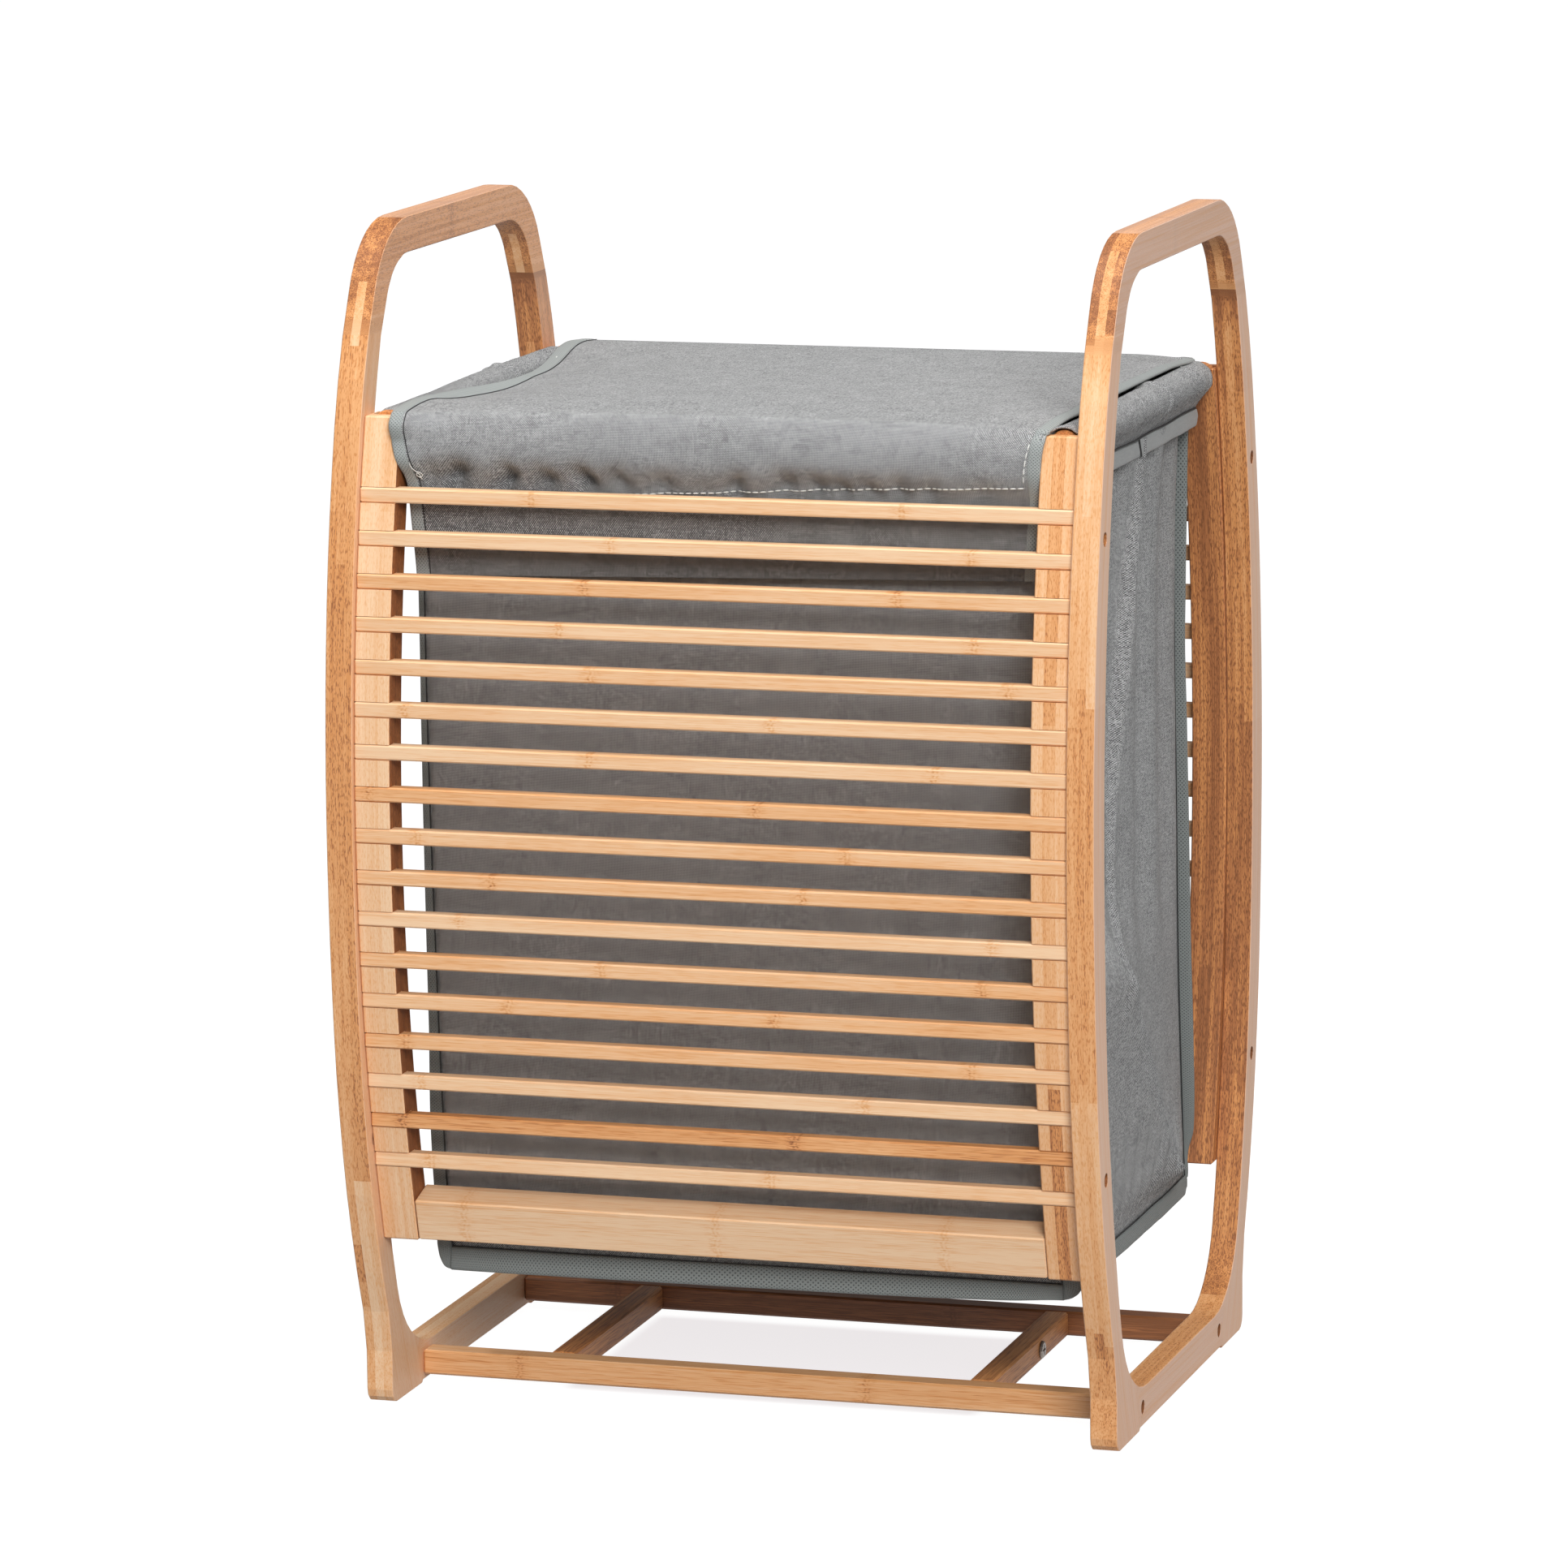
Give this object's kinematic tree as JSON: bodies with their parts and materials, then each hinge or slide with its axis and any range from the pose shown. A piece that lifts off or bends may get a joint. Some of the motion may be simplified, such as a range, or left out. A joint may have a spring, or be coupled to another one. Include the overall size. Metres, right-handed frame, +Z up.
{
  "type": "laundry hamper",
  "caption": "Bamboo laundry hamper: two bowed side frames joined by slatted panels, holding a lift-out cloth bag that hangs on rods and has a hinged cloth lid.",
  "frame": {"origin": "on the floor, under the middle of the hamper", "axes": "+Z up, +X to the right across the front, +Y to the back; the slatted panel at -Y is the front"},
  "size_m": [0.426, 0.379, 0.65],
  "materials": {
    "frame_bamboo": "edge-glued bamboo plies under a satin clear lacquer",
    "panel_bamboo": "light bamboo under a satin clear lacquer",
    "rod_bamboo": "turned bamboo, lightly lacquered",
    "bag_cloth": "matt grey woven polyester",
    "bag_trim": "pale grey woven binding with a dark stitch line",
    "screw_steel": "zinc-plated steel"
  },
  "bodies": {
    "frame": {"side_frame_left": "frame_bamboo", "side_frame_right": "frame_bamboo", "front_stile_left": "panel_bamboo", "front_stile_right": "panel_bamboo", "front_slat_01": "panel_bamboo", "front_slat_02": "panel_bamboo", "front_slat_03": "panel_bamboo", "front_slat_04": "panel_bamboo", "front_slat_05": "panel_bamboo", "front_slat_06": "panel_bamboo", "front_slat_07": "panel_bamboo", "front_slat_08": "panel_bamboo", "front_slat_09": "panel_bamboo", "front_slat_10": "panel_bamboo", "front_slat_11": "panel_bamboo", "front_slat_12": "panel_bamboo", "front_slat_13": "panel_bamboo", "front_slat_14": "panel_bamboo", "front_slat_15": "panel_bamboo", "front_slat_16": "panel_bamboo", "front_slat_17": "panel_bamboo", "front_bottom_rail": "panel_bamboo", "back_stile_left": "panel_bamboo", "back_stile_right": "panel_bamboo", "back_slat_01": "panel_bamboo", "back_slat_02": "panel_bamboo", "back_slat_03": "panel_bamboo", "back_slat_04": "panel_bamboo", "back_slat_05": "panel_bamboo", "back_slat_06": "panel_bamboo", "back_slat_07": "panel_bamboo", "back_slat_08": "panel_bamboo", "back_slat_09": "panel_bamboo", "back_slat_10": "panel_bamboo", "back_slat_11": "panel_bamboo", "back_slat_12": "panel_bamboo", "back_slat_13": "panel_bamboo", "back_slat_14": "panel_bamboo", "back_slat_15": "panel_bamboo", "back_slat_16": "panel_bamboo", "back_slat_17": "panel_bamboo", "back_bottom_rail": "panel_bamboo", "base_rail_front": "panel_bamboo", "base_rail_back": "panel_bamboo", "base_brace_left": "panel_bamboo", "base_brace_right": "panel_bamboo", "brace_screw_left": "screw_steel", "brace_screw_right": "screw_steel"},
    "bag": {"bag_body": "bag_cloth", "bag_hem": "bag_trim", "rod_sleeve_left": "bag_cloth", "rod_sleeve_right": "bag_cloth", "hanging_rod_left": "rod_bamboo", "hanging_rod_right": "rod_bamboo", "lid_hinge_strip": "bag_cloth"},
    "lid": {"lid_panel": "bag_cloth"},
    "skirt": {"lid_skirt": "bag_cloth"}
  },
  "joints": [
    {"name": "bag_lift", "type": "slide", "parent": "frame", "child": "bag", "axis": [0, 0, 1], "range_m": [0, 0.48]},
    {"name": "lid_hinge", "type": "hinge", "parent": "bag", "child": "lid", "pos_m": [0, 0.14457, 0.5553], "axis": [-1, 0, 0], "range_deg": [0, 180]},
    {"name": "skirt_fold", "type": "hinge", "parent": "lid", "child": "skirt", "pos_m": [0, -0.14688, 0.5542], "axis": [-1, 0, 0], "range_deg": [-90, 0]}
  ],
  "couplings": [
    {"joint": "skirt_fold", "follows": "lid_hinge", "ratio": -0.5}
  ]
}
